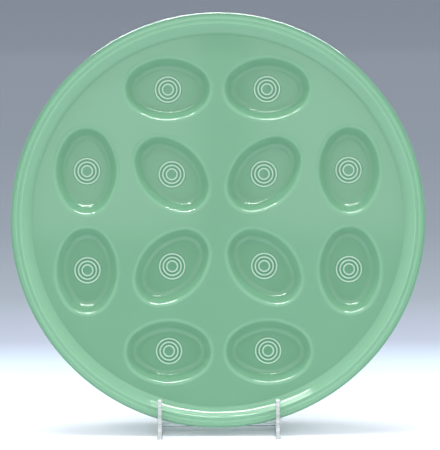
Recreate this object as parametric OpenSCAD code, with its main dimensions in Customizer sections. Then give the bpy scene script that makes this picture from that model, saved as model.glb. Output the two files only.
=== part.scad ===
// Round glazed ceramic platter for deviled eggs, leaning on a clear acrylic display stand.
// Millimetres, +Z up. The origin lies on the table, at the middle of the stand's footprint.
// The platter faces -Y and lifts off the stand along the stand's leaning uprights.

/* [Wells] */
// Length of a well's mouth, where its wall would meet the field without rounding
well_len = 63.2; // [56:0.1:70]
// Width of a well's mouth
well_w = 45.6; // [40:0.1:50]
// Depth of a well below the field
well_depth = 11; // [8:0.5:14]
// Slope of a well's wall, in degrees from the field
wall_angle = 62; // [50:1:72]
// Rounding where a well's wall leaves the field
edge_round = 4; // [1.5:0.1:6]
// Rounding where a well's wall meets its floor
foot_round = 5; // [3:0.1:6]

/* [Layout of the wells] */
// Field left between the two wells of an outer pair
pair_gap = 10; // [6:0.5:16]
// Field left between neighbours of the central four
inner_gap = 12.9; // [8:0.1:20]
// Field left between the central four and each outer pair
row_gap = 12.25; // [8:0.05:20]
// Field left outside the outer wells
field_margin = 10; // [7:0.5:20]

/* [Rings in the wells] */
// Number of raised rings on a well's floor
ring_n = 3; // [0:1:3]
// Diameter of the smallest ring, at its crest
ring_d = 7.9; // [6:0.1:9]
// Spacing of the rings
ring_pitch = 2.66; // [2.2:0.02:2.8]
// Width of a ring
ring_w = 1.5; // [1:0.1:1.8]
// Height of a ring above the floor
ring_h = 0.6; // [0.3:0.05:0.7]

/* [Body of the platter] */
// Thickness of the ceramic in the field and the flange
ceramic_t = 5.5; // [4:0.1:7]
// Thickness of the ceramic round the wells
well_t = 4.4; // [3.5:0.1:6]
// Width of the sloping flange
flange_w = 8.2; // [6:0.1:12]
// Slope of the flange, in degrees from the field
flange_angle = 44; // [30:1:50]
// Rounding where the field turns up into the flange
cove_round = 7.4; // [4:0.1:9]
// Rounding where the flange turns out into the rim
shoulder_round = 1.2; // [0.8:0.1:2]
// Width of the rim outside the flange
rim_w = 7.7; // [7.6:0.1:12]
// Upward slope of the rim, in degrees
rim_angle = 6; // [0:1:12]
// Thickness of the rim at its edge
lip_t = 4.8; // [4:0.1:6]
// Rounding of the edge's upper side
lip_round = 1.2; // [1:0.1:1.6]
// Number of fine ridges round the rim
ridge_n = 2; // [0:1:2]
// Spacing of the ridges, counted inwards from the edge's crest
ridge_pitch = 2.95; // [2.4:0.05:3]
// Height of a ridge above the groove beside it
ridge_h = 0.45; // [0.2:0.05:0.6]

/* [Foot ring of the platter] */
// Diameter of the foot ring at the middle of its flat
foot_d = 160; // [140:1:190]
// Width of the foot ring's flat
foot_w = 4; // [3:0.5:6]
// How far the foot ring stands below the undersides of the wells
foot_proud = 1.5; // [1:0.1:3]
// Slope of the foot ring's sides, in degrees from upright
foot_draft = 8; // [4:1:15]

/* [Stand] */
// Backward lean of the platter and the uprights, in degrees
lean = 10; // [8:1:15]
// Thickness of the acrylic sheet
sheet_t = 3.2; // [3:0.1:5]
// Distance between the middles of the two side plates
stand_w = 86; // [80:1:110]
// Length of the side plates along the table
base_len = 112; // [104:1:140]
// Height of the seat's rear corner above the table
seat_h = 7.7; // [7:0.1:12]
// Height of the front hooks above the seat
hook_h = 16; // [12:0.5:24]
// Thickness of the front hooks, front to back
hook_t = 6; // [4.5:0.5:9]
// Room between the platter's rim and the hooks
hook_slack = 2; // [1:0.5:6]
// Length of the uprights above the seat
upright_h = 222; // [219:1:235]
// Width of the uprights, front to back
upright_w = 14; // [12:0.5:20]
// Height of the rail between the upright and the rear foot
rail_h = 10; // [9:0.5:14]
// Height of the clear arch under the rail
arch_h = 2.5; // [1.5:0.5:4]
// Length of the front feet along the table
front_foot = 36; // [33:1:44]
// Length of the rear feet along the table
rear_foot = 14; // [12:1:20]
// Diameter of the cross rods
rod_d = 3; // [2.5:0.1:3.5]

/* [Hidden] */
$fn = 96;
// Segments that stand for one rounded corner of an outline
corner_steps = 4;
// Overrun of a cut past the surface that it opens
over = 2;
// Gap between the platter and the faces that it rests on
seat_gap = 0.3;
// Gap between a rod and its hole, filled with cement
cement_gap = 0.05;
// Depth of the front rod below the seat, and its distance in front of the seat's rear corner
front_rod_drop = 4.7;
front_rod_ahead = 3.3;
// Distance of the rear rod from the end of the plates, and its height
rear_rod_in = 7;
rear_rod_h = 5.4;
// Rounding of the ring flats, the lower edge of the rim and the corners of the side plates
foot_edge_round = 1.2;
foot_root_round = 2;
lip_under_round = 2.6;
ridge_round = 0.8;
hook_tip_round = 2.2;
hook_root_round = 1.5;
seat_round = 2;
rail_root_round = 10;
rail_end_round = 4;
arch_round = 1.5;
upright_tip_round = 5;
// Legs of the right triangle, with sides of 3, 4 and 5, between the centres of a well's arcs
leg_x = 3;
leg_y = 4;

// Mouth of a well: an oval of two end arcs and two side arcs that meet without a corner
leg_z = norm([leg_x, leg_y]);
oval_a = well_len / 2;
oval_b = well_w / 2;
leg_unit = (oval_a - oval_b) / (leg_x + leg_y - leg_z);
end_x = leg_x * leg_unit;
side_y = leg_y * leg_unit;
end_r = oval_a - end_x;
side_r = oval_b + side_y;
// The far corner of the wedge that an end arc fills, measured from the arc's centre
wedge_far = [leg_x, leg_y] * 2 * side_r / leg_z;
// Half the extent of an oval that is turned by 45 degrees
oval_diag = norm([oval_a, oval_b]) / sqrt(2);
wall_run = well_depth / tan(wall_angle);
edge_reach = edge_round * tan(wall_angle / 2);

// Centres of the wells
pair_x = (well_len + pair_gap) / 2;
inner_x = oval_diag + inner_gap / 2;
outer_y = inner_x + oval_diag + row_gap + oval_b;

// Radii and heights of the platter, measured from its centre and from its field
field_r = norm([pair_x, outer_y]) + oval_b + field_margin;
shoulder_r = field_r + flange_w;
platter_r = shoulder_r + rim_w;
flange_foot_r = field_r + cove_round * tan(flange_angle / 2);
shoulder_z = (shoulder_r - flange_foot_r) * tan(flange_angle);
lip_z = shoulder_z + rim_w * tan(rim_angle);
crest_r = platter_r - lip_round;
bulge_z = well_depth + well_t;
foot_z = bulge_z + foot_proud;
foot_in_r = (foot_d - foot_w) / 2;
foot_out_r = (foot_d + foot_w) / 2;
foot_spread = (foot_z - ceramic_t) * tan(foot_draft);

// Seat of the platter on the stand
rim_drop = sqrt(pow(platter_r, 2) - pow((stand_w - sheet_t) / 2, 2));
seat_depth = foot_z + seat_gap + lip_z + hook_slack;
hook_front = seat_depth + hook_t;
seat_y = seat_h * tan(lean) + hook_front / cos(lean) - base_len / 2;
rod_len = stand_w + sheet_t;

// Points of the arc of radius r that rounds the corner b between a and c
function corner(a, b, c, r) =
    let (u = (a - b) / norm(a - b))
    let (v = (c - b) / norm(c - b))
    let (half = acos(u * v) / 2)
    let (reach = r / tan(half))
    let (mid = b + (u + v) / norm(u + v) * r / sin(half))
    let (from = b + u * reach - mid)
    let (to = b + v * reach - mid)
    let (start = atan2(from[1], from[0]))
    let (turn = atan2(from[0] * to[1] - from[1] * to[0], from * to))
    let (steps = floor(corner_steps))
    [for (i = [0:steps]) mid + r * [cos(start + turn * i / steps), sin(start + turn * i / steps)]];

// Closed outline through a list of corners, each [x, y, rounding]
function rounded(path) =
    let (n = len(path))
    let (xy = [for (p = path) [p[0], p[1]]])
    [for (i = [0:n]) if (i < n) each path[i][2] > 0
        ? corner(xy[(i + n - 1) % n], xy[i], xy[(i + 1) % n], path[i][2])
        : [xy[i]]];

// Corner that lies the distance t below a corner p where a line turns from slope a1 to slope a2
function below(p, a1, a2, t) =
    p + t * [sin((a1 + a2) / 2), -cos((a1 + a2) / 2)] / cos((a1 - a2) / 2);

// Height of the rim's plain slope at the radius r
function rim_z(r) = lip_z - (platter_r - r) * tan(rim_angle);

// Section of the platter without its wells, from the centre to the edge and back underneath
function platter_section() =
    let (flange_under = below([flange_foot_r, 0], 0, flange_angle, ceramic_t))
    let (rim_under = below([shoulder_r, shoulder_z], flange_angle, rim_angle, ceramic_t))
    rounded(concat(
        [[0, 0, 0]],
        [[flange_foot_r, 0, cove_round]],
        [[shoulder_r, shoulder_z, shoulder_round]],
        [for (i = [floor(ridge_n):-1:1]) each ridge(crest_r - i * ridge_pitch)],
        [[platter_r, lip_z, lip_round]],
        [[platter_r, lip_z - lip_t, lip_under_round]],
        [[rim_under[0], rim_under[1], shoulder_round + ceramic_t]],
        [[flange_under[0], flange_under[1], cove_round / 2]],
        [[foot_out_r + foot_spread, -ceramic_t, foot_root_round]],
        [[foot_out_r, -foot_z, foot_edge_round]],
        [[foot_in_r, -foot_z, foot_edge_round]],
        [[foot_in_r - foot_spread, -ceramic_t, foot_root_round]],
        [[0, -ceramic_t, 0]]
    ));

// One fine ridge of the rim: its crest, and the groove outside it
function ridge(r) = [
    for (side = [0, 1])
        let (at = r + side * ridge_pitch / 2)
        [at, rim_z(at) - side * ridge_h, ridge_round]
];

// Section of the hollow that a well cuts, measured outwards from its mouth, from -core outwards
function hollow_section(core) =
    let (foot = [-wall_run, -well_depth])
    concat(
        [[-core, over]],
        [[-core, -well_depth]],
        corner([-core, -well_depth], foot, [0, 0], foot_round),
        corner(foot, [0, 0], [over, 0], edge_round),
        [[edge_reach, over]]
    );

// Section of the ceramic that bulges out below the field round a well
function bulge_section(core) =
    let (top = -ceramic_t / 2)
    let (foot = [well_t * tan(wall_angle / 2) - wall_run, -bulge_z])
    let (brim = [foot[0] + (bulge_z + top) / tan(wall_angle), top])
    concat(
        [[-core, top]],
        [[-core, -bulge_z]],
        corner([-core, -bulge_z], foot, brim, foot_round + well_t / 2),
        [brim]
    );

// One arc of an oval solid: a full turn about the arc's centre, kept inside the arc's own wedge
module arc_wedge(centre_x, r, inner_r, far, hollow) {
    translate([centre_x, 0, 0])
        intersection() {
            rotate_extrude()
                translate([r, 0])
                    polygon(hollow ? hollow_section(r - inner_r) : bulge_section(r - inner_r));
            linear_extrude(2 * (bulge_z + over), center = true)
                polygon([[0, 0], [far[0], -far[1]], far]);
        }
}

// An oval solid: two end arcs, and two side arcs that overlap in the middle
module oval_turned(hollow) {
    for (turn = [0, 180]) {
        rotate([0, 0, turn])
            arc_wedge(end_x, end_r, 0, wedge_far, hollow);
        rotate([0, 0, turn + 90])
            arc_wedge(-side_y, side_r, side_y / 2, [wedge_far[1], wedge_far[0]], hollow);
    }
}

// Children at the twelve wells: an outer pair and one of the central four in each quarter, four times
module at_wells() {
    for (quarter = [0:90:270])
        rotate([0, 0, quarter]) {
            for (side = [-1, 1])
                translate([side * pair_x, outer_y, 0])
                    children();
            translate([inner_x, inner_x, 0])
                rotate([0, 0, 45])
                    children();
        }
}

// Raised rings on a well's floor, each a bead that is sunk into the floor
module well_rings() {
    bead_r = (ring_w * ring_w / 4 + ring_h * ring_h) / (2 * ring_h);
    for (i = [0:ring_n]) if (i < floor(ring_n))
        translate([0, 0, ring_h - well_depth - bead_r])
            rotate_extrude()
                translate([ring_d / 2 + i * ring_pitch, 0])
                    circle(r = bead_r, $fn = 24);
}

// The platter as it lies flat, with its field at height zero
module platter_flat() {
    color("#86bb9b") {
        difference() {
            union() {
                rotate_extrude()
                    polygon(platter_section());
                at_wells()
                    oval_turned(false);
            }
            at_wells()
                oval_turned(true);
        }
    }
    color("#a9d6ba")
        at_wells()
            well_rings();
}

// Leaning frame of the seat: +Y up along the uprights, +Z out of the platter's face
module lean_frame() {
    translate([0, seat_y, seat_h])
        rotate([90 - lean, 0, 0])
            children();
}

module platter() {
    lean_frame()
        translate([0, rim_drop + seat_gap, foot_z + seat_gap])
            platter_flat();
}

// A point of the side plate: q runs back along the seat, b runs up along the upright
function seat_point(q, b) = [
    seat_y + q * cos(lean) + b * sin(lean),
    seat_h - q * sin(lean) + b * cos(lean)
];

function with_round(p, r) = [p[0], p[1], r];

// Outline of a side plate, seen from its side: front foot, hook, seat, upright, rail, rear foot, arch
function plate_outline() =
    let (rail_b = (rail_h - seat_h + upright_w * sin(lean)) / cos(lean))
    rounded([
        [-base_len / 2, 0, 0],
        with_round(seat_point(-hook_front, hook_h), hook_tip_round),
        with_round(seat_point(-seat_depth, hook_h), hook_tip_round),
        with_round(seat_point(-seat_depth, 0), hook_root_round),
        with_round(seat_point(0, 0), seat_round),
        with_round(seat_point(0, upright_h), upright_tip_round),
        with_round(seat_point(upright_w, upright_h), upright_tip_round),
        with_round(seat_point(upright_w, rail_b), rail_root_round),
        [base_len / 2, rail_h, rail_end_round],
        [base_len / 2, 0, 0],
        [base_len / 2 - rear_foot, 0, 0],
        [base_len / 2 - rear_foot - arch_h, arch_h, arch_round],
        [front_foot + arch_h - base_len / 2, arch_h, arch_round],
        [front_foot - base_len / 2, 0, 0]
    ]);

front_rod_at = seat_point(-front_rod_ahead, -front_rod_drop);
rear_rod_at = [base_len / 2 - rear_rod_in, rear_rod_h];
upper_rod_at = seat_point(upright_w / 2, upright_h - upright_w / 2);

// A round rod across the stand at a point of the side plates' outline
module cross_rod(at, d, length) {
    translate([0, at[0], at[1]])
        rotate([0, 90, 0])
            cylinder(d = d, h = length, center = true, $fn = 48);
}

// A side plate, cut from clear sheet, at the distance x from the middle
module side_plate(x) {
    color("#dff2ea", 0.45)
        difference() {
            translate([x, 0, 0])
                rotate([90, 0, 90])
                    linear_extrude(sheet_t, center = true)
                        polygon(plate_outline());
            for (at = [front_rod_at, rear_rod_at, upper_rod_at])
                cross_rod(at, rod_d + 2 * cement_gap, rod_len + 2 * over);
        }
}

module left_side_plate() side_plate(-stand_w / 2);

module right_side_plate() side_plate(stand_w / 2);

module front_cross_rod() color("#dff2ea", 0.45) cross_rod(front_rod_at, rod_d, rod_len);

module rear_cross_rod() color("#dff2ea", 0.45) cross_rod(rear_rod_at, rod_d, rod_len);

module upper_cross_rod() color("#dff2ea", 0.45) cross_rod(upper_rod_at, rod_d, rod_len);

platter();
left_side_plate();
right_side_plate();
front_cross_rod();
rear_cross_rod();
upper_cross_rod();
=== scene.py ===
"""A round deviled egg platter in celadon glaze, leaning on a clear acrylic display stand.

Sizes and outlines are in millimetres. Finished meshes are in metres, in the CAD model's frame, where +X is
the platter's right as seen from the front, +Y is backwards and +Z is up.
"""

import math

import bmesh
import bpy
import numpy as np
from mathutils import Matrix, Vector
from mathutils.geometry import delaunay_2d_cdt


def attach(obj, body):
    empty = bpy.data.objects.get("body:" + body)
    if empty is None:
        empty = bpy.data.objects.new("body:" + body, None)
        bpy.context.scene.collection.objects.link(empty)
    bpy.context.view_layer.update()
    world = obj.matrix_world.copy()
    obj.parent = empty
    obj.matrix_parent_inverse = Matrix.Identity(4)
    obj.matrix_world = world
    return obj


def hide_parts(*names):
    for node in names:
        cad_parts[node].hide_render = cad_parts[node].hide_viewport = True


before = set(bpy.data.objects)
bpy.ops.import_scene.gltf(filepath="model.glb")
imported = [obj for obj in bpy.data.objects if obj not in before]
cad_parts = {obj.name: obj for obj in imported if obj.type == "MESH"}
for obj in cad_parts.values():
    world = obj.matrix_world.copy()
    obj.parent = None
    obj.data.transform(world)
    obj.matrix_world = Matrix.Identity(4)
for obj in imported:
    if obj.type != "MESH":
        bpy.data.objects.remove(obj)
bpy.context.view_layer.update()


# ---- Platter ----
# A round serving plate for twelve egg halves: glazed ceramic, formed and fired as one piece. It is loose, and
# stands in the stand's two hooks with its back against the uprights. Its skin follows the outlines of the CAD
# model's solid, with finer roundings.

MM = 0.001
LEAN = math.radians(10)

# Wells, the gaps between them, and the rings on their floors
WELL_LEN, WELL_W, WELL_DEPTH, WALL = 63.2, 45.6, 11.0, math.radians(62)
EDGE_ROUND, FOOT_ROUND = 4.0, 5.0
PAIR_GAP, INNER_GAP, ROW_GAP, FIELD_MARGIN = 10.0, 12.9, 12.25, 10.0
RINGS, RING_D, RING_PITCH, RING_W, RING_H = 3, 7.9, 2.66, 1.5, 0.6
# Thickness of the ceramic, in the field and round the wells
CERAMIC_T, WELL_T = 5.5, 4.4
# Flange, rim with its lip, ridges on the rim, and foot ring
FLANGE_W, FLANGE, COVE_ROUND, SHOULDER_ROUND = 8.2, math.radians(44), 7.4, 1.2
RIM_W, RIM, LIP_T, LIP_ROUND, LIP_UNDER = 7.7, math.radians(6), 4.8, 1.2, 2.6
RIDGES, RIDGE_PITCH, RIDGE_H, RIDGE_ROUND = 2, 2.95, 0.45, 0.8
FOOT_D, FOOT_W, FOOT_PROUD, FOOT_DRAFT = 160.0, 4.0, 1.5, math.radians(8)
# Sizes of the stand that give the platter its place
STAND_W, SHEET_T, BASE_LEN, SEAT_H = 86.0, 3.2, 112.0, 7.7
HOOK_T, HOOK_SLACK, SEAT_GAP = 6.0, 2.0, 0.3

# A well's mouth is an oval of four arcs. Their centres lie at end_x and side_y, the legs 3 and 4 of a right
# triangle, so that the arcs meet without a corner.
oval_a, oval_b = WELL_LEN / 2, WELL_W / 2
leg = (oval_a - oval_b) / 2
end_x, side_y = 3 * leg, 4 * leg
end_r, side_r = oval_a - end_x, oval_b + side_y
wall_run = WELL_DEPTH / math.tan(WALL)
bulge_z = WELL_DEPTH + WELL_T

# Places of the wells from the platter's middle, and the radii and heights of the rim
diagonal = math.hypot(oval_a, oval_b) / math.sqrt(2)
pair_x = (WELL_LEN + PAIR_GAP) / 2
inner_x = diagonal + INNER_GAP / 2
outer_y = inner_x + diagonal + ROW_GAP + oval_b
field_r = math.hypot(pair_x, outer_y) + oval_b + FIELD_MARGIN
shoulder_r = field_r + FLANGE_W
platter_r = shoulder_r + RIM_W
flange_foot_r = field_r + COVE_ROUND * math.tan(FLANGE / 2)
shoulder_z = (shoulder_r - flange_foot_r) * math.tan(FLANGE)
lip_z = shoulder_z + RIM_W * math.tan(RIM)
foot_z = bulge_z + FOOT_PROUD

# The platter's place on the stand: its face points along OUT, and its top along UP
rim_drop = math.sqrt(platter_r**2 - ((STAND_W - SHEET_T) / 2) ** 2)
hook_front = foot_z + SEAT_GAP + lip_z + HOOK_SLACK + HOOK_T
seat_y = SEAT_H * math.tan(LEAN) + hook_front / math.cos(LEAN) - BASE_LEN / 2
RIGHT = Vector((1, 0, 0))
UP = Vector((0, math.sin(LEAN), math.cos(LEAN)))
OUT = Vector((0, -math.cos(LEAN), math.sin(LEAN)))
CENTRE = Vector((0, seat_y, SEAT_H)) + UP * (rim_drop + SEAT_GAP) + OUT * (foot_z + SEAT_GAP)
LEANING = Matrix.Translation(CENTRE * MM) @ Matrix.Rotation(math.pi / 2 - LEAN, 4, "X")

# How far a rounding turns in one step, on the front, on the back and on the foot ring
ARC_STEP, BACK_STEP, FOOT_STEP = math.radians(7), math.radians(10), math.radians(20)
# Points all round a well, the rim and the foot ring
OVAL_N, RIM_N, FOOT_N = 80, 256, 240
# Width of the flat strip at the ends of an outline
GUARD = 0.5
# A rounding shows its whole tone up to this radius, and from this turn in radians
SHARP_R, SHARP_TURN = 2.8, 0.6


def rounded(path, step=ARC_STEP, inwards=False):
    """Points [x, y, tone, tilt] of an open outline whose corners [x, y, rounding] become arcs.

    The tone is up to 1 on an edge, where the glaze runs thin, and down to -1 in a crease, where it gathers.
    The tilt is the angle between the true normal and the second axis. The piece lies on the right of the
    outline, or on its left if it runs inwards.
    """
    out = []
    for i, (x, y, r) in enumerate(path):
        if r == 0 or i in (0, len(path) - 1):
            out.append((x, y, 0.0, None))
            continue
        corner = np.array([x, y])
        u, v = np.array(path[i - 1][:2]) - corner, np.array(path[i + 1][:2]) - corner
        u, v = u / np.linalg.norm(u), v / np.linalg.norm(v)
        half = math.acos(max(-1, min(1, float(u @ v)))) / 2
        mid = corner + (u + v) / np.linalg.norm(u + v) * r / math.sin(half)
        start = corner + u * r / math.tan(half) - mid
        end = corner + v * r / math.tan(half) - mid
        turn = math.atan2(start[0] * end[1] - start[1] * end[0], start @ end)
        first = math.atan2(start[1], start[0])
        count = max(2, math.ceil(abs(turn) / step))
        sharp = -math.copysign(min(1.0, SHARP_R / r) * min(1.0, abs(turn) / SHARP_TURN), turn)
        if inwards:
            sharp = -sharp
        for k in range(count + 1):
            a = first + turn * k / count
            tone = sharp * math.sin(math.pi * k / count)
            tilt = math.acos(math.copysign(1, sharp) * math.sin(a))
            out.append((mid[0] + r * math.cos(a), mid[1] + r * math.sin(a), tone, tilt))
    # A flat end has the normal of its neighbour
    out[0], out[-1] = out[0][:3] + out[1][3:], out[-1][:3] + out[-2][3:]
    return out


def circle(r, count):
    turns = [2 * math.pi * k / count for k in range(count)]
    return [(r * math.cos(a), r * math.sin(a)) for a in turns]


def oval(offset):
    """Points of a well's mouth, moved outwards by offset and always in the same directions."""
    out = []
    for c, s in circle(1, OVAL_N):
        if abs(s) * end_x <= abs(c) * side_y:
            out.append((math.copysign(end_x, c) + (end_r + offset) * c, (end_r + offset) * s))
        else:
            out.append(((side_r + offset) * c, -math.copysign(side_y, s) + (side_r + offset) * s))
    return out


# A well from its mouth to its floor, as offsets and heights. The glaze thins a little over the mouth's edge,
# and doesn't gather in the gentle rounding at the foot of the wall.
MOUTH_TONE = 0.5
edge_reach = EDGE_ROUND * math.tan(WALL / 2)
foot_reach = FOOT_ROUND * math.tan(WALL / 2)
well_front = [
    (e, z, MOUTH_TONE * max(0.0, tone) if e > -wall_run / 2 else 0.0, tilt)
    for e, z, tone, tilt in rounded([
        (edge_reach + GUARD, 0, 0),
        (0, 0, EDGE_ROUND),
        (-wall_run, -WELL_DEPTH, FOOT_ROUND),
        (-wall_run - foot_reach - GUARD, -WELL_DEPTH, 0),
    ], inwards=True)
]

# The bulge behind a well, which keeps the wall's thickness
BRIM_ROUND, bulge_round = 2.0, FOOT_ROUND + WELL_T / 2
bulge_foot = WELL_T * math.tan(WALL / 2) - wall_run
bulge_brim = bulge_foot + (bulge_z - CERAMIC_T) / math.tan(WALL)
well_back = rounded([
    (bulge_brim + BRIM_ROUND * math.tan(WALL / 2) + GUARD, -CERAMIC_T, 0),
    (bulge_brim, -CERAMIC_T, BRIM_ROUND),
    (bulge_foot, -bulge_z, bulge_round),
    (bulge_foot - bulge_round * math.tan(WALL / 2) - GUARD, -bulge_z, 0),
], BACK_STEP)

# The rings on a floor: the points across a ring, measured from its crest, the height of the glaze's fillet
# beside it, and the tones up to three distances. The thin glaze on the crests is nearly white.
ACROSS = (1.0, 0.78, 0.6, 0.4, 0.2, 0.0, -0.2, -0.4, -0.6, -0.78, -1.0)
FILLET_H = 0.05
CREST_TONES = ((0.5, 2.0), (0.7, 0.5), (1.0, -0.7))
FLOOR_MARGIN, MIDDLE_TONE = 1.25, -0.3


def ring_profile():
    """Points [radius, height, tone, tilt] across the rings, from the outside to the middle."""
    arc_r = (RING_W**2 / 4 + RING_H**2) / (2 * RING_H)
    out = [(RING_D / 2 + (RINGS - 1) * RING_PITCH + FLOOR_MARGIN, 0.0, 0.0, 0.0)]
    for i in reversed(range(RINGS)):
        crest = RING_D / 2 + i * RING_PITCH
        for t in ACROSS:
            height = math.sqrt(max(arc_r**2 - t * t, 0)) - (arc_r - RING_H)
            height = max(height, FILLET_H * (1 - abs(t)))
            tone = next(tone for reach, tone in CREST_TONES if abs(t) <= reach)
            out.append((crest + t, height, tone, None))
    return out


def well_skins():
    """One well: the skin from the field to the middle of the floor, and the skin of the bulge behind it."""
    points, faces, tones = [], [], []

    def skin(rings, middle_tone, back):
        """Joins rings [outline, z, tone] from the outside in, and closes the last one in its middle."""
        old = None
        for outline, z, tone in rings:
            new = len(points)
            points.extend((x, y, z) for x, y in outline)
            tones.extend([tone] * OVAL_N)
            if old is not None:
                for k in range(OVAL_N):
                    j = (k + 1) % OVAL_N
                    quad = (old + k, old + j, new + j, new + k)
                    faces.append(quad[::-1] if back else quad)
            old = new
        points.append((0, 0, z))
        tones.append(middle_tone)
        for k in range(OVAL_N):
            tri = (old + k, old + (k + 1) % OVAL_N, len(points) - 1)
            faces.append(tri[::-1] if back else tri)

    floor = [(circle(r, OVAL_N), height - WELL_DEPTH, tone) for r, height, *tone in ring_profile()]
    floor[-1] = (*floor[-1][:2], (MIDDLE_TONE, None))
    skin([(oval(e), z, tone) for e, z, *tone in well_front] + floor, (MIDDLE_TONE, None), back=False)
    skin([(oval(e), z, tone) for e, z, *tone in well_back], (0, None), back=True)
    return points, faces, tones


# Two level wells at the top and a slanted one near the middle, repeated by quarter turns
QUARTER = [(-pair_x, outer_y, 0), (pair_x, outer_y, 0), (inner_x, inner_x, math.radians(45))]
WELLS = [
    (x * math.cos(q) - y * math.sin(q), x * math.sin(q) + y * math.cos(q), turn + q)
    for q in (0, math.pi / 2, math.pi, 3 * math.pi / 2)
    for x, y, turn in QUARTER
]


def mouth_offsets(x, y):
    """Distances of a point outwards from each well's mouth."""
    out = []
    for wx, wy, turn in WELLS:
        c, s = math.cos(turn), math.sin(turn)
        px, py = abs((x - wx) * c + (y - wy) * s), abs(-(x - wx) * s + (y - wy) * c)
        if px > end_x and py * end_x <= (px - end_x) * side_y:
            out.append(math.hypot(px - end_x, py) - end_r)
        else:
            out.append(math.hypot(px, py + side_y) - side_r)
    return out


# Points closer than this are one, in an outline's millimetres as in a mesh's metres
SAME_POINT = 1e-6


def field_sheet(offset, z, outer_r, back):
    """The flat sheet between the wells' outermost rings and a circle, as triangles."""
    loops = [circle(outer_r, RIM_N)]
    for x, y, turn in WELLS:
        c, s = math.cos(turn), math.sin(turn)
        loops.append([(x + c * px - s * py, y + s * px + c * py) for px, py in oval(offset)])
    flat, edges = [], []
    for loop in loops:
        n0 = len(flat)
        flat += [Vector(p) for p in loop]
        edges += [(n0 + k, n0 + (k + 1) % len(loop)) for k in range(len(loop))]
    corners, _, triangles, *_ = delaunay_2d_cdt(flat, edges, [], 0, SAME_POINT)
    faces = []
    for tri in triangles:
        x, y = (sum(corners[i][axis] for i in tri) / 3 for axis in (0, 1))
        if math.hypot(x, y) <= outer_r and min(mouth_offsets(x, y)) >= offset:
            faces.append(tuple(tri)[::-1] if back else tuple(tri))
    points = [(x, y, z) for x, y in corners]
    return points, faces, [(0.0, math.pi if back else 0.0)] * len(points)


# Tones of the glaze by radius: a fine dark line round the field, then thinner, paler glaze up the flange
FLANGE_TONES = (
    (field_r - 0.4, 0.0), (field_r + 0.35, -0.25), (field_r + 1.3, 0.3), (shoulder_r - 2, 0.45),
)
# From a little inside the shoulder on, the rim has a tone of its own and a share of its outline's, and both
# give way to the darker lip. The lip's darker tone is painted shade, laid evenly all round it.
SHOULDER_EASE = 1.0
RIM_TONE, RIDGE_TONE, PALEST_TONE, LIP_PAINTED_SHADE = 0.6, 0.8, 1.2, -0.5
LIP_FADE = (platter_r - 2.8, platter_r - 1.2)
# The lip's finer arc stays this far inside the coarser one of the CAD model
LIP_SHY = 0.03


def rim_tone(x, tone):
    """Tone at the radius x, where the outline has its own tone: the glaze's, and painted shade at the lip."""
    if x < shoulder_r - SHOULDER_EASE:
        return float(np.interp(x, *zip(*FLANGE_TONES)))
    lip = float(np.interp(x, LIP_FADE, (0.0, 1.0)))
    return max(-1.0, min(PALEST_TONE, (RIM_TONE + RIDGE_TONE * tone) * (1 - lip) + LIP_PAINTED_SHADE * lip))


def inner_corner(x, z, before, after, depth):
    """The corner under (x, z) that keeps the ceramic's depth where the slope turns from before to after."""
    reach, slope = depth / math.cos((before - after) / 2), (before + after) / 2
    return x + reach * math.sin(slope), z - reach * math.cos(slope)


def rim_profile():
    """The rim from the field's edge, over the flange, the ridges and the lip, and back underneath."""
    under_flange = inner_corner(flange_foot_r, 0, 0, FLANGE, CERAMIC_T)
    under_shoulder = inner_corner(shoulder_r, shoulder_z, FLANGE, RIM, CERAMIC_T)
    under_field = under_flange[0] - COVE_ROUND / 2 * math.tan(FLANGE / 2) - GUARD
    ridges = []
    for i in range(RIDGES, 0, -1):
        for side in (0, 1):
            at = platter_r - LIP_ROUND - i * RIDGE_PITCH + side * RIDGE_PITCH / 2
            ridges.append((at, lip_z - (platter_r - at) * math.tan(RIM) - side * RIDGE_H, RIDGE_ROUND))
    outline = rounded([
        (field_r - GUARD, 0, 0),
        (flange_foot_r, 0, COVE_ROUND),
        (shoulder_r, shoulder_z, SHOULDER_ROUND),
        *ridges,
        (platter_r - LIP_SHY, lip_z, LIP_ROUND),
        (platter_r - LIP_SHY, lip_z - LIP_T, LIP_UNDER),
        (*under_shoulder, SHOULDER_ROUND + CERAMIC_T),
        (*under_flange, COVE_ROUND / 2),
        (under_field, -CERAMIC_T, 0),
    ])
    return [
        (x, z, rim_tone(x, tone) if z > -CERAMIC_T / 2 else 0.0, tilt)
        for x, z, tone, tilt in outline
    ]


def turned(profile):
    """An outline [x, z, tone, tilt] turned about the platter's axis."""
    points, faces, n = [], [], len(profile)
    for c, s in circle(1, RIM_N):
        points += [(x * c, x * s, z) for x, z, *_ in profile]
    for k in range(RIM_N):
        for i in range(n - 1):
            a, b = k * n + i, (k + 1) % RIM_N * n + i
            faces.append((a, a + 1, b + 1, b))
    return points, faces, [tuple(p[2:]) for p in profile] * RIM_N


# The rounding where the foot ring meets the plate, how far its sides go into the ceramic, the rounding of its
# edges, and where across its width the points of its hidden top lie
FOOT_BRIM, FOOT_SUNK, FOOT_EDGE = 0.8, 0.6, 1.2
TOP_SHARES = (0.0, 0.35, 0.65, 1.0)


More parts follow.
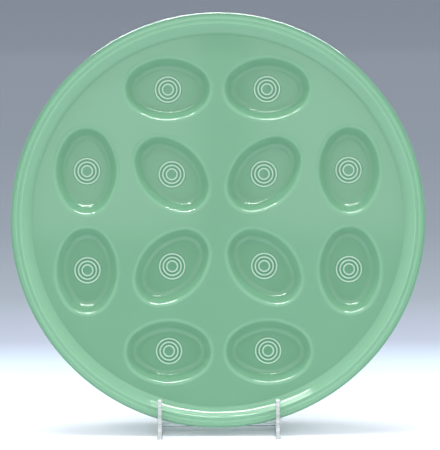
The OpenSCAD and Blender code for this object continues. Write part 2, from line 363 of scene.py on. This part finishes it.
def foot_ring():
    """The foot ring, a closed shell whose top lies hidden in the middle of the ceramic."""
    inner, outer = (FOOT_D - FOOT_W) / 2, (FOOT_D + FOOT_W) / 2
    spread = (foot_z - CERAMIC_T) * math.tan(FOOT_DRAFT)
    profile = rounded([
        (outer + spread + FOOT_BRIM, -CERAMIC_T + FOOT_SUNK, 0),
        (outer + spread, -CERAMIC_T - FOOT_SUNK, FOOT_BRIM),
        (outer, -foot_z, FOOT_EDGE),
        (inner, -foot_z, FOOT_EDGE),
        (inner - spread, -CERAMIC_T - FOOT_SUNK, FOOT_BRIM),
        (inner - spread - FOOT_BRIM, -CERAMIC_T + FOOT_SUNK, 0),
    ], FOOT_STEP) + [(inner + (outer - inner) * share, None) for share in TOP_SHARES]
    front, back = (np.array([p[:2] for p in reversed(skin)]).T for skin in (well_front, well_back))
    points, faces, n = [], [], len(profile)
    for c, s in circle(1, FOOT_N):
        for x, z, *_ in profile:
            e = min(mouth_offsets(x * c, x * s))
            middle = (np.interp(e, *front) + np.interp(e, *back)) / 2
            points.append((x * c, x * s, middle if z is None else min(z, middle)))
    for k in range(FOOT_N):
        a, b = k * n, (k + 1) % FOOT_N * n
        faces += [(a + i, a + (i + 1) % n, b + (i + 1) % n, b + i) for i in range(n)]
    return points, faces, [(0.0, None)] * len(points)


def mesh_object(name, points, faces):
    """A mesh object at the origin, from points in millimetres."""
    mesh = bpy.data.meshes.new(name)
    mesh.from_pydata([(x * MM, y * MM, z * MM) for x, y, z in points], [], faces)
    mesh.validate()
    mesh.shade_smooth()
    obj = bpy.data.objects.new(name, mesh)
    bpy.context.scene.collection.objects.link(obj)
    return obj


# The tilt of a point whose normal stays as the mesh makes it, and the least length that anything is divided by
LEFT_AS_IS, LEAST = -1, 1e-6


def toned_mesh(name, parts):
    """A mesh object from parts of (points, faces, tones), with the tones and tilts as attributes."""
    points, faces, tones = [], [], []
    for part_points, part_faces, part_tones in parts:
        n0 = len(points)
        points += part_points
        faces += [tuple(n0 + i for i in face) for face in part_faces]
        tones += part_tones
    obj = mesh_object(name, points, faces)
    for k, attribute in enumerate(("glaze_and_shade_tone", "normal_tilt")):
        values = np.array([LEFT_AS_IS if t[k] is None else t[k] for t in tones], np.float32)
        obj.data.attributes.new(attribute, "FLOAT", "POINT").data.foreach_set("value", values)
    return obj


def true_normals(mesh):
    """The normals of the true shape, by their tilts. They keep thin highlights even."""
    tilts = np.empty(len(mesh.vertices), np.float32)
    mesh.attributes["normal_tilt"].data.foreach_get("value", tilts)
    plain = np.empty(3 * len(mesh.vertices), np.float32)
    mesh.vertex_normals.foreach_get("vector", plain)
    plain = plain.reshape(-1, 3)
    level = plain[:, :2] / np.maximum(np.linalg.norm(plain[:, :2], axis=1), LEAST)[:, None]
    tilted = np.column_stack((level * np.sin(tilts)[:, None], np.cos(tilts)))
    return np.where((tilts < LEFT_AS_IS / 2)[:, None], plain, tilted)


def linear(hex_colour):
    """Linear RGBA of an sRGB hex colour."""
    parts = [int(hex_colour[i : i + 2], 16) / 255 for i in (1, 3, 5)]
    return [p / 12.92 if p <= 0.04045 else ((p + 0.055) / 1.055) ** 2.4 for p in parts] + [1.0]


def add(tree, kind, at, inputs=(), **settings):
    """Adds a node. Each input, by its name or number, is a value, or a socket to be linked."""
    node = tree.nodes.new(kind)
    node.location = at
    for name, value in settings.items():
        setattr(node, name, value)
    for key, value in dict(inputs).items():
        if isinstance(value, bpy.types.NodeSocket):
            tree.links.new(value, node.inputs[key])
        else:
            node.inputs[key].default_value = value
    return node


# The sockets of a colour Mix node, which has several of the same name: what goes in, and what comes out
FACTOR, COLOUR_A, COLOUR_B, MIXED = 0, 6, 7, 2


def new_material(name):
    """A material with an output node and nothing else."""
    material = bpy.data.materials.new(name)
    material.use_nodes = True
    material.node_tree.nodes.clear()
    return material, material.node_tree, add(material.node_tree, "ShaderNodeOutputMaterial", (900, 0))


# Celadon glaze, fired to a smooth gloss over a pale body. On the flat field it clouds very faintly, in
# patches about as wide as two wells. It gathers darker in creases, and runs thin over edges, where the body
# shows through. Its tones also carry painted shade that darkens the lip all round.
FIELD, FIELD_CLOUDED, CLOUD_SIZE = "#84bb97", "#8ac19e", 111.1
# The tones at which each colour begins and is reached
COLOUR_TONES = ((0.0, 1.0, "#95d2a9"), (1.0, 2.1, "#ddf6e4"), (0.0, -1.0, "#65a280"))


def celadon_glaze():
    material, tree, output = new_material("celadon glaze")
    tone = add(tree, "ShaderNodeAttribute", (-1100, 200), attribute_name="glaze_and_shade_tone")
    place = add(tree, "ShaderNodeTexCoord", (-1100, -200))
    clouds = add(tree, "ShaderNodeTexNoise", (-900, -200), {
        "Vector": place.outputs["Object"], "Scale": 1 / (CLOUD_SIZE * MM), "Detail": 2.0,
    })
    colour = add(tree, "ShaderNodeMix", (-650, -200), {
        FACTOR: clouds.outputs["Fac"], COLOUR_A: linear(FIELD), COLOUR_B: linear(FIELD_CLOUDED),
    }, data_type="RGBA").outputs[MIXED]
    for i, (begins, reached, hex_colour) in enumerate(COLOUR_TONES):
        share = add(tree, "ShaderNodeMapRange", (-650 + 250 * i, 200), {
            "Value": tone.outputs["Fac"], "From Min": begins, "From Max": reached,
        })
        colour = add(tree, "ShaderNodeMix", (-400 + 250 * i, 0), {
            FACTOR: share.outputs["Result"], COLOUR_A: colour, COLOUR_B: linear(hex_colour),
        }, data_type="RGBA").outputs[MIXED]
    # All the gloss comes from the coat, so that the tinted layer under it adds no second reflection
    glaze = add(tree, "ShaderNodeBsdfPrincipled", (500, 0), {
        "Base Color": colour, "Roughness": 0.45, "IOR": 1.5, "Specular IOR Level": 0.0,
        "Coat Weight": 1.0, "Coat Roughness": 0.08, "Coat IOR": 1.5,
    })
    tree.links.new(glaze.outputs["BSDF"], output.inputs["Surface"])
    return material


def wells_tree(material):
    """Geometry Nodes that set the well on points by their turn, join the body and weld the seams."""
    tree = bpy.data.node_groups.new("wells on the field", "GeometryNodeTree")
    tree.interface.new_socket("Geometry", in_out="INPUT", socket_type="NodeSocketGeometry")
    kinds = {"Well": "NodeSocketObject", "Body": "NodeSocketObject", "Weld": "NodeSocketFloat"}
    inputs = {
        name: tree.interface.new_socket(name, in_out="INPUT", socket_type=kind).identifier
        for name, kind in kinds.items()
    }
    tree.interface.new_socket("Geometry", in_out="OUTPUT", socket_type="NodeSocketGeometry")
    source = add(tree, "NodeGroupInput", (-800, 0))
    turn = add(tree, "GeometryNodeInputNamedAttribute", (-800, -300), {"Name": "turn"}, data_type="FLOAT")
    angles = add(tree, "ShaderNodeCombineXYZ", (-600, -300), {"Z": turn.outputs["Attribute"]})
    well = add(tree, "GeometryNodeObjectInfo", (-600, -100), {"Object": source.outputs["Well"]})
    body = add(tree, "GeometryNodeObjectInfo", (-400, 300), {"Object": source.outputs["Body"]})
    placed = add(tree, "GeometryNodeInstanceOnPoints", (-300, 0), {
        "Points": source.outputs["Geometry"], "Instance": well.outputs["Geometry"],
        "Rotation": angles.outputs["Vector"],
    })
    real = add(tree, "GeometryNodeRealizeInstances", (-100, 0), {"Geometry": placed.outputs["Instances"]})
    joined = add(tree, "GeometryNodeJoinGeometry", (100, 0), {"Geometry": real.outputs["Geometry"]})
    tree.links.new(body.outputs["Geometry"], joined.inputs["Geometry"])
    welded = add(tree, "GeometryNodeMergeByDistance", (300, 0), {
        "Geometry": joined.outputs["Geometry"], "Distance": source.outputs["Weld"],
    })
    finished = add(tree, "GeometryNodeSetMaterial", (500, 0), {
        "Geometry": welded.outputs["Geometry"], "Material": material,
    })
    add(tree, "NodeGroupOutput", (800, 0), {"Geometry": finished.outputs["Geometry"]})
    return tree, inputs


# Points of two parts that lie this close are one
WELD = 0.02

well = toned_mesh("well source", [well_skins()])
body = toned_mesh("body source", [
    field_sheet(edge_reach + GUARD, 0, field_r - GUARD, back=False),
    turned(rim_profile()),
    field_sheet(well_back[0][0], -CERAMIC_T, rim_profile()[-1][0], back=True),
    foot_ring(),
])
places = mesh_object("well places", [(x, y, 0) for x, y, _ in WELLS], [])
turns = places.data.attributes.new("turn", "FLOAT", "POINT")
turns.data.foreach_set("value", [turn for _, _, turn in WELLS])
tree, inputs = wells_tree(celadon_glaze())
modifier = places.modifiers.new("wells", "NODES")
modifier.node_group = tree
for name, value in (("Well", well), ("Body", body), ("Weld", WELD * MM)):
    modifier[inputs[name]] = value
bpy.context.view_layer.update()
mesh = bpy.data.meshes.new_from_object(places.evaluated_get(bpy.context.evaluated_depsgraph_get()))
for old in (well, body, places):
    bpy.data.objects.remove(old)
mesh.name = "glazed_platter"
mesh.shade_smooth()
normals = true_normals(mesh)
mesh.transform(LEANING)
leaning = np.array(LEANING.to_3x3())
mesh.normals_split_custom_set_from_vertices([tuple(leaning @ n) for n in normals])
platter = bpy.data.objects.new("glazed_platter", mesh)
bpy.context.scene.collection.objects.link(platter)
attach(platter, "platter")
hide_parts("platter")


# ---- Side plates ----
# The two sides of the stand, sawn from clear acrylic sheet to one outline of foot, hook, seat, upright and
# rail. The large faces are left as cast, the sawn edges are eased and buffed, and three rods join the plates.

HOOK_H, HOOK_TIP, HOOK_ROOT, SEAT_ROUND = 16.0, 2.2, 1.5, 2.0
UPRIGHT_H, UPRIGHT_W, UPRIGHT_TIP = 222.0, 14.0, 5.0
RAIL_H, RAIL_ROOT, RAIL_END = 10.0, 10.0, 4.0
FRONT_FOOT, REAR_FOOT, ARCH_H, ARCH_ROUND = 36.0, 14.0, 2.5, 1.5
ROD_D, CEMENT, EASED = 3.0, 0.05, 0.3
# The front rod lies below and before the seat, the rear one in the rail's end
FRONT_ROD_BACK, FRONT_ROD_UP, REAR_ROD_IN, REAR_ROD_H = -3.3, -4.7, 7.0, 5.4


def seat_point(back, up, r=0.0):
    """A corner [y, z, rounding], measured back along the seat and up the upright from where they meet."""
    return (
        seat_y + back * math.cos(LEAN) + up * math.sin(LEAN),
        SEAT_H - back * math.sin(LEAN) + up * math.cos(LEAN),
        r,
    )


seat_depth = hook_front - HOOK_T
rail_top = (RAIL_H - SEAT_H + UPRIGHT_W * math.sin(LEAN)) / math.cos(LEAN)
half = BASE_LEN / 2
PLATE = [
    (-half, 0, 0),
    seat_point(-hook_front, HOOK_H, HOOK_TIP),
    seat_point(-seat_depth, HOOK_H, HOOK_TIP),
    seat_point(-seat_depth, 0, HOOK_ROOT),
    seat_point(0, 0, SEAT_ROUND),
    seat_point(0, UPRIGHT_H, UPRIGHT_TIP),
    seat_point(UPRIGHT_W, UPRIGHT_H, UPRIGHT_TIP),
    seat_point(UPRIGHT_W, rail_top, RAIL_ROOT),
    (half, RAIL_H, RAIL_END),
    (half, 0, 0),
    (half - REAR_FOOT, 0, 0),
    (half - REAR_FOOT - ARCH_H, ARCH_H, ARCH_ROUND),
    (FRONT_FOOT + ARCH_H - half, ARCH_H, ARCH_ROUND),
    (FRONT_FOOT - half, 0, 0),
]
RODS = [
    seat_point(FRONT_ROD_BACK, FRONT_ROD_UP),
    (half - REAR_ROD_IN, REAR_ROD_H, 0),
    seat_point(UPRIGHT_W / 2, UPRIGHT_H - UPRIGHT_W / 2),
]

# Buffed edges are milky and nearly white. Faint streaks of the saw cross them, drawn coarser than real ones
# so that they show. A darker line along both their sides is painted shade, for light bent at the edge.
EDGE, EDGE_STREAK, EDGE_BENT_LIGHT_SHADE = "#ffffff", "#cfd9d5", "#8aa097"
STREAK_SIZE, STREAK_RANGE, BENT_LIGHT_SHADE_SHARE = 4.762, (0.4, 0.6), 0.7


def edge_colour(tree):
    """An edge's colour: saw streaks by its height, and painted shade by the distance from the sheet's middle.
    """
    place = add(tree, "ShaderNodeTexCoord", (-1100, 0))
    parts = add(tree, "ShaderNodeSeparateXYZ", (-900, 0), {"Vector": place.outputs["Object"]})
    side = add(tree, "ShaderNodeMath", (-700, 200), {0: parts.outputs["X"]}, operation="ABSOLUTE")
    off = add(tree, "ShaderNodeMath", (-550, 200), {
        0: side.outputs["Value"], 1: STAND_W / 2 * MM,
    }, operation="SUBTRACT")
    off_middle = add(tree, "ShaderNodeMath", (-400, 200), {0: off.outputs["Value"]}, operation="ABSOLUTE")
    # Painted shade along both sides of the edge, for light bent there
    bent_light_shade = add(tree, "ShaderNodeMapRange", (-250, 200), {
        "Value": off_middle.outputs["Value"],
        "From Min": BENT_LIGHT_SHADE_SHARE * SHEET_T / 2 * MM, "From Max": SHEET_T / 2 * MM,
    })
    along = add(tree, "ShaderNodeCombineXYZ", (-700, -200), {"Z": parts.outputs["Z"]})
    noise = add(tree, "ShaderNodeTexNoise", (-500, -200), {
        "Vector": along.outputs["Vector"], "Scale": 1 / (STREAK_SIZE * MM), "Detail": 1.0,
    })
    streaks = add(tree, "ShaderNodeMapRange", (-250, -200), {
        "Value": noise.outputs["Fac"], "From Min": STREAK_RANGE[0], "From Max": STREAK_RANGE[1],
    })
    middle = add(tree, "ShaderNodeMix", (-50, 0), {
        FACTOR: streaks.outputs["Result"], COLOUR_A: linear(EDGE), COLOUR_B: linear(EDGE_STREAK),
    }, data_type="RGBA")
    return add(tree, "ShaderNodeMix", (150, 0), {
        FACTOR: bent_light_shade.outputs["Result"], COLOUR_A: middle.outputs[MIXED], COLOUR_B: linear(EDGE_BENT_LIGHT_SHADE),
    }, data_type="RGBA").outputs[MIXED]


def acrylic(name, colour, roughness, clearness):
    """Acrylic of a hex colour, or of the colour that a function makes in the material's tree."""
    material, tree, output = new_material(name)
    shader = add(tree, "ShaderNodeBsdfPrincipled", (400, 0), {
        "Base Color": colour(tree) if callable(colour) else linear(colour),
        "Roughness": roughness, "IOR": 1.49, "Transmission Weight": clearness,
    })
    tree.links.new(shader.outputs["BSDF"], output.inputs["Surface"])
    return material


# Cast acrylic is quite clear, with a trace of green, and buffing leaves hardly any of that on its edges
CLEAR = acrylic("clear acrylic", "#f6fcfa", roughness=0.0, clearness=1.0)
BUFFED = acrylic("buffed acrylic edge", edge_colour, roughness=0.2, clearness=0.15)
# Points round a hole, steps of an eased edge, how squarely a large face looks sideways, and the angle from
# which an edge shows as sharp
HOLE_N, EASING_STEPS, FLAT_FACE, SHARP_ANGLE = 48, 2, 0.99, math.radians(30)


def side_plate(name, x):
    """A plate at the distance x from the middle: a filled outline with eased edges and three holes."""
    curve = bpy.data.curves.new(name, "CURVE")
    curve.dimensions, curve.fill_mode = "2D", "BOTH"
    curve.extrude, curve.bevel_depth = (SHEET_T / 2 - EASED) * MM, EASED * MM
    curve.bevel_resolution, curve.offset = EASING_STEPS, -EASED * MM
    # The outline gets its last corner before its first and its first after its last, and then loses both ends
    outline = [(y, z) for y, z, *_ in rounded(PLATE[-1:] + PLATE + PLATE[:1])[1:-1]]
    hole = circle(ROD_D / 2 + CEMENT, HOLE_N)
    for loop in [outline] + [[(y + a, z + b) for a, b in hole] for y, z, _ in RODS]:
        spline = curve.splines.new("POLY")
        spline.points.add(len(loop) - 1)
        for point, (y, z) in zip(spline.points, loop):
            point.co = (y * MM, z * MM, 0, 1)
        spline.use_cyclic_u = True
    drawn = bpy.data.objects.new(name, curve)
    bpy.context.scene.collection.objects.link(drawn)
    bpy.context.view_layer.update()
    mesh = bpy.data.meshes.new_from_object(drawn.evaluated_get(bpy.context.evaluated_depsgraph_get()))
    bpy.data.objects.remove(drawn)
    # The drawing's axes become the model's Y and Z, and its thickness lies along X
    mesh.transform(Matrix(((0, 0, 1, x * MM), (1, 0, 0, 0), (0, 1, 0, 0), (0, 0, 0, 1))))
    work = bmesh.new()
    work.from_mesh(mesh)
    bmesh.ops.remove_doubles(work, verts=work.verts, dist=SAME_POINT)
    bmesh.ops.recalc_face_normals(work, faces=work.faces)
    work.to_mesh(mesh)
    work.free()
    mesh.materials.clear()
    mesh.materials.append(CLEAR)
    mesh.materials.append(BUFFED)
    for face in mesh.polygons:
        face.material_index = 0 if abs(face.normal.x) > FLAT_FACE else 1
    mesh.shade_smooth()
    mesh.set_sharp_from_angle(angle=SHARP_ANGLE)
    plate = bpy.data.objects.new(name, mesh)
    bpy.context.scene.collection.objects.link(plate)
    return plate


for side, x in (("left", -STAND_W / 2), ("right", STAND_W / 2)):
    plate = side_plate(f"{side}_clear_plate", x)
    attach(plate, "stand")
    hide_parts(f"{side}_side_plate")


# ---- Cross rods ----
# Three rods of clear extruded acrylic that keep the side plates apart, cemented into their holes. The CAD
# model's own solids stay, and only get the clear material.

for name in ("front_cross_rod", "rear_cross_rod", "upper_cross_rod"):
    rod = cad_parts[name]
    rod.data.materials.clear()
    rod.data.materials.append(CLEAR)


# ---- Table and backdrop ----
# One pale sweep of seamless paper lies under the stand, bends up far behind it and hangs as the wall. Its
# colour fades to grey behind the stand, as painted shade for the light falling off with distance.

SWEEP_SIDE, SWEEP_FRONT, SWEEP_BACK, SWEEP_BEND, SWEEP_TOP, BEND_STEPS = 4000, -3000, 3000, 1000, 4000, 12
# Colours of the painted falloff at distances behind the stand in metres, measured along the floor and then up
# the wall
FADE = (
    (0.0, "#f0f4fc"), (0.13, "#d9eaf8"), (0.26, "#a9afbf"), (0.45, "#929aa3"),
    (0.8, "#888f99"), (1.5, "#8c949e"), (2.8, "#9ca4af"), (4.5, "#7e8491"),
)
# How bright the paper is as a source of light for the object, and as it is seen or mirrored
PAPER_LIT, PAPER_SEEN = 0.75, 1.1


def sweep_paper():
    material, tree, output = new_material("pale sweep")
    place = add(tree, "ShaderNodeTexCoord", (-900, 0))
    parts = add(tree, "ShaderNodeSeparateXYZ", (-700, 0), {"Vector": place.outputs["Object"]})
    way = add(tree, "ShaderNodeMath", (-550, 0), {
        0: parts.outputs["Y"], 1: parts.outputs["Z"],
    }, operation="ADD")
    far = add(tree, "ShaderNodeMapRange", (-400, 0), {
        "Value": way.outputs["Value"], "From Min": 0.0, "From Max": FADE[-1][0],
    })
    ramp = add(tree, "ShaderNodeValToRGB", (-200, 0), {"Fac": far.outputs["Result"]})
    stops = ramp.color_ramp.elements
    stops.remove(stops[1])
    for i, (metres, shade) in enumerate(FADE):
        stop = stops.new(metres / FADE[-1][0]) if i else stops[0]
        stop.color = linear(shade)
    ray = add(tree, "ShaderNodeLightPath", (-400, 300))
    mirrored = add(tree, "ShaderNodeMath", (-200, 450), {
        0: ray.outputs["Is Glossy Ray"], 1: ray.outputs["Is Transmission Ray"],
    }, operation="MAXIMUM")
    seen = add(tree, "ShaderNodeMath", (-200, 300), {
        0: ray.outputs["Is Camera Ray"], 1: mirrored.outputs["Value"],
    }, operation="MAXIMUM")
    gain = add(tree, "ShaderNodeMapRange", (0, 150), {
        "Value": seen.outputs["Value"], "To Min": PAPER_LIT, "To Max": PAPER_SEEN,
    })
    shade = add(tree, "ShaderNodeVectorMath", (200, 0), {
        0: ramp.outputs["Color"], "Scale": gain.outputs["Result"],
    }, operation="SCALE")
    paper = add(tree, "ShaderNodeBsdfDiffuse", (500, 0), {"Color": shade.outputs["Vector"]})
    tree.links.new(paper.outputs["BSDF"], output.inputs["Surface"])
    return material


bend = [math.pi / 2 * k / BEND_STEPS for k in range(BEND_STEPS + 1)]
profile = [
    (SWEEP_FRONT, 0),
    *((SWEEP_BACK + SWEEP_BEND * math.sin(a), SWEEP_BEND - SWEEP_BEND * math.cos(a)) for a in bend),
    (SWEEP_BACK + SWEEP_BEND, SWEEP_TOP),
]
sweep = mesh_object(
    "sweep",
    [(x, y, z) for y, z in profile for x in (-SWEEP_SIDE, SWEEP_SIDE)],
    [(2 * i, 2 * i + 1, 2 * i + 3, 2 * i + 2) for i in range(len(profile) - 1)],
)
sweep.data.materials.append(sweep_paper())


# ---- Lamps and room ----
# Two soft panels beside the camera and strips overhead, in a pale room. Two of the strips light nothing and
# only show in the glaze: as the bright arcs in the wells and on the rim, and as the white line along the top.

# Metres to the platter's right, up its face and away from it, width and depth in metres, watts, whether the
# lamp only shows as a glint, and the one thing that it shines on
LAMPS = (
    ("overhead strip", (-0.075, 1.2, 0.25), (1.07, 0.10), 3.0, False, None),
    ("glint strip", (-0.075, 1.17, 0.262), (1.05, 0.09), 25.0, True, None),
    ("left panel", (-0.25, 0.42, 1.7), (0.44, 0.9), 1.4, False, None),
    ("right panel", (0.27, 0.42, 1.7), (0.44, 0.9), 1.4, False, None),
    ("table strip", (-0.075, 1.4, 0.1), (1.07, 0.06), 10.0, False, sweep),
    ("back strip", (0.0, 1.2, -0.45), (1.8, 0.3), 110.0, True, platter),
)
middle = CENTRE * MM


def softbox(name, place, size, watts, glint, target):
    """A soft lamp that faces the platter's middle, with its width level."""
    lamp = bpy.data.lights.new(name, "AREA")
    lamp.shape, lamp.energy = "RECTANGLE", watts
    lamp.size, lamp.size_y = size
    right, up, away = place
    at = middle + RIGHT * right + UP * up + OUT * away
    back = (at - middle).normalized()
    across = (RIGHT - back * back.x).normalized()
    obj = bpy.data.objects.new(name, lamp)
    turn = Matrix((across, back.cross(across), back)).transposed().to_4x4()
    obj.matrix_world = Matrix.Translation(at) @ turn
    obj.visible_diffuse = not glint
    bpy.context.scene.collection.objects.link(obj)
    if target:
        lit = bpy.data.collections.new(f"lit by the {name}")
        lit.objects.link(target)
        obj.light_linking.receiver_collection = lit
    return obj


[softbox(*lamp) for lamp in LAMPS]

# The room is brightest at both sides, a little darker overhead, and dark before and behind the platter
ROOM, ROOM_SIDES, ROOM_FRONT, ROOM_CEILING = "#f4f6f8", 1.5, 0.02, 1.1
CEILING_FROM, CEILING_TO = 0.1, 0.9
world = bpy.data.worlds.new("studio")
bpy.context.scene.world = world
world.use_nodes = True
tree = world.node_tree
around = add(tree, "ShaderNodeTexCoord", (-1100, 0))
parts = add(tree, "ShaderNodeSeparateXYZ", (-900, 0), {"Vector": around.outputs["Generated"]})
facing = add(tree, "ShaderNodeMath", (-700, 200), {
    0: parts.outputs["Y"], 1: parts.outputs["Y"],
}, operation="MULTIPLY")
walls = add(tree, "ShaderNodeMapRange", (-500, 200), {
    "Value": facing.outputs["Value"], "To Min": ROOM_SIDES, "To Max": ROOM_FRONT,
})
height = add(tree, "ShaderNodeMapRange", (-500, -100), {
    "Value": parts.outputs["Z"], "From Min": CEILING_FROM, "From Max": CEILING_TO,
})
# The numbers are the sockets of a plain Mix node: its factor, and the two values that it mixes
room = add(tree, "ShaderNodeMix", (-300, 0), {
    0: height.outputs["Result"], 2: walls.outputs["Result"], 3: ROOM_CEILING,
}, data_type="FLOAT")
background = tree.nodes["Background"]
background.inputs["Color"].default_value = linear(ROOM)
tree.links.new(room.outputs[0], background.inputs["Strength"])


# ---- Camera ----
# It stands square to the platter's face and far back, as in the photo, which shows 0.734 mm in a pixel at the
# platter. The aim is off the platter's middle by a few pixels, and the camera is rolled by a trace.

PIXEL, FRAME_H = 0.734 * MM, 450
DISTANCE, SENSOR = 1.6, 36
AIM_RIGHT, AIM_DOWN, ROLL = 2.0, 4.9, math.radians(-0.25)

aim = middle + RIGHT * AIM_RIGHT * PIXEL - UP * AIM_DOWN * PIXEL
camera_data = bpy.data.cameras.new("camera")
camera_data.sensor_width = SENSOR
camera_data.lens = SENSOR * DISTANCE / (FRAME_H * PIXEL)
camera = bpy.data.objects.new("camera", camera_data)
camera.matrix_world = (
    Matrix.Translation(aim + OUT * DISTANCE)
    @ Matrix.Rotation(math.pi / 2 - LEAN, 4, "X")
    @ Matrix.Rotation(ROLL, 4, "Z")
)
bpy.context.scene.collection.objects.link(camera)
bpy.context.scene.camera = camera
bpy.context.scene.view_settings.view_transform = "Standard"
